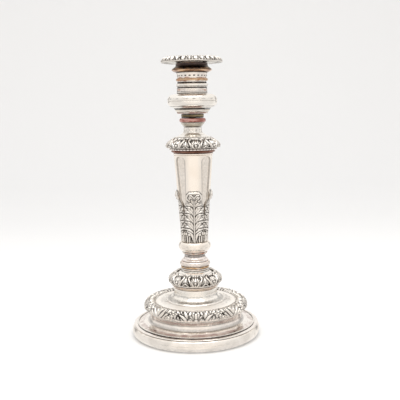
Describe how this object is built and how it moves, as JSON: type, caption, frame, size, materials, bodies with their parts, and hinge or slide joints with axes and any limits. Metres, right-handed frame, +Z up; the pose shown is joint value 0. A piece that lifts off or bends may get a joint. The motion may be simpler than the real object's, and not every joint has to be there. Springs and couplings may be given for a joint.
{
  "type": "candlestick",
  "caption": "Tall silver-plated table candlestick with a round leafy foot, fluted column with acanthus leaves, and a lift-out nozzle for one candle.",
  "frame": {"origin": "on the table under the middle of the round foot", "axes": "+Z up the stem; the front acanthus leaf faces -Y"},
  "size_m": [0.143, 0.143, 0.306],
  "materials": {
    "silver": "gloss",
    "leaf_silver": "gloss",
    "worn_copper": "gloss",
    "warm_silver": "gloss",
    "tube_silver": "satin",
    "iron": "matte",
    "pitch": "matte",
    "card": "matte",
    "baize": "matte"
  },
  "bodies": {
    "stick": {"felt_pad": "baize", "closing_card": "card", "base_loading": "pitch", "stem_rod": "iron", "foot_rim": "warm_silver", "foot_plate": "silver", "rim_wire": "silver", "base_border": "leaf_silver", "base_dish": "silver", "base_spool": "silver", "lower_collar_band": "worn_copper", "lower_dome": "silver", "lower_collar": "leaf_silver", "ringed_knop": "warm_silver", "column_waist": "silver", "column_foot": "silver", "column": "silver", "acanthus_leaf_right": "leaf_silver", "acanthus_leaf_back": "leaf_silver", "acanthus_leaf_left": "leaf_silver", "acanthus_leaf_front": "leaf_silver", "column_cap": "warm_silver", "upper_collar_bead": "worn_copper", "upper_collar_band": "silver", "upper_dome": "silver", "upper_collar": "leaf_silver", "spool_neck": "silver", "knop_cup": "silver", "knop_ring": "worn_copper", "knop_neck": "silver", "socket_calyx": "silver", "socket_bulb_lower": "silver", "socket_bulb_upper": "silver", "socket_liner": "tube_silver", "socket_barrel": "silver", "barrel_ring_lower": "warm_silver", "barrel_ring_upper": "worn_copper", "socket_lip": "worn_copper"},
    "nozzle": {"nozzle_tube": "tube_silver", "nozzle_collar": "silver", "nozzle_pan": "silver", "nozzle_border": "leaf_silver"}
  },
  "joints": [
    {"name": "nozzle_lift", "type": "slide", "parent": "stick", "child": "nozzle", "axis": [0, 0, 1], "range_m": [0, 0.04]}
  ]
}
